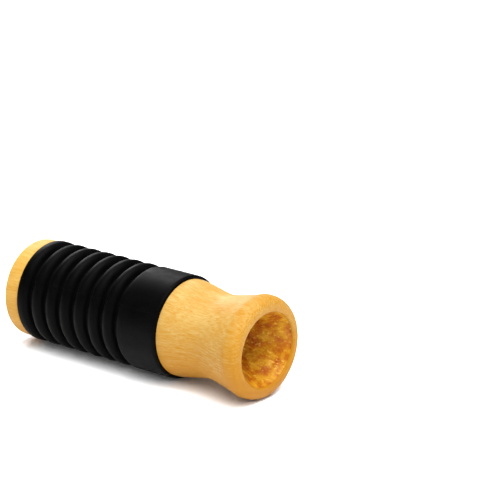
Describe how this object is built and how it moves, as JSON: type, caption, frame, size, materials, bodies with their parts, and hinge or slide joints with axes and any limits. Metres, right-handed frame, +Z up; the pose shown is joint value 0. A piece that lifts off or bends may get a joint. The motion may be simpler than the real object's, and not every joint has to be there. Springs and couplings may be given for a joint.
{
  "type": "duck call",
  "caption": "Bellows duck call: turned wooden horn with a flared cup, ribbed rubber bellows and a wooden end plug, with a clamped reed unit inside.",
  "frame": {"origin": "on the surface that the call lies on, under the middle of its length", "axes": "+X along the call's axis from the end plug to the horn's mouth, +Z up out of the surface, +Y to the left of someone looking along +X"},
  "size_m": [0.104, 0.0356, 0.0355],
  "materials": {
    "boxwood": "turned and clear lacquered",
    "black_rubber": "moulded, satin",
    "walnut": "sanded and oiled",
    "reed_brass": "rolled strip",
    "cork": "cut cork",
    "seal_rubber": "smooth"
  },
  "bodies": {
    "horn_body": {"horn": "boxwood", "bellows": "black_rubber", "tone_board": "walnut", "reed_wedge": "cork", "clamp_band": "reed_brass", "seal_ring_front": "seal_rubber", "seal_ring_rear": "seal_rubber"},
    "plug_end": {"end_plug": "boxwood"},
    "reed_tongue": {"reed": "reed_brass"}
  },
  "joints": [
    {"name": "bellows_squeeze", "type": "slide", "parent": "horn_body", "child": "plug_end", "axis": [1, 0, 0], "range_m": [-0.003, 0.015], "stiffness_N_per_m": 400, "deforming": ["bellows"]},
    {"name": "reed_flutter", "type": "hinge", "parent": "horn_body", "child": "reed_tongue", "pos_m": [0.00975, 0, 0.01886], "axis": [0, 1, 0], "range_deg": [-2, 4], "stiffness_Nm_per_rad": 0.004, "deforming": ["reed"]}
  ]
}
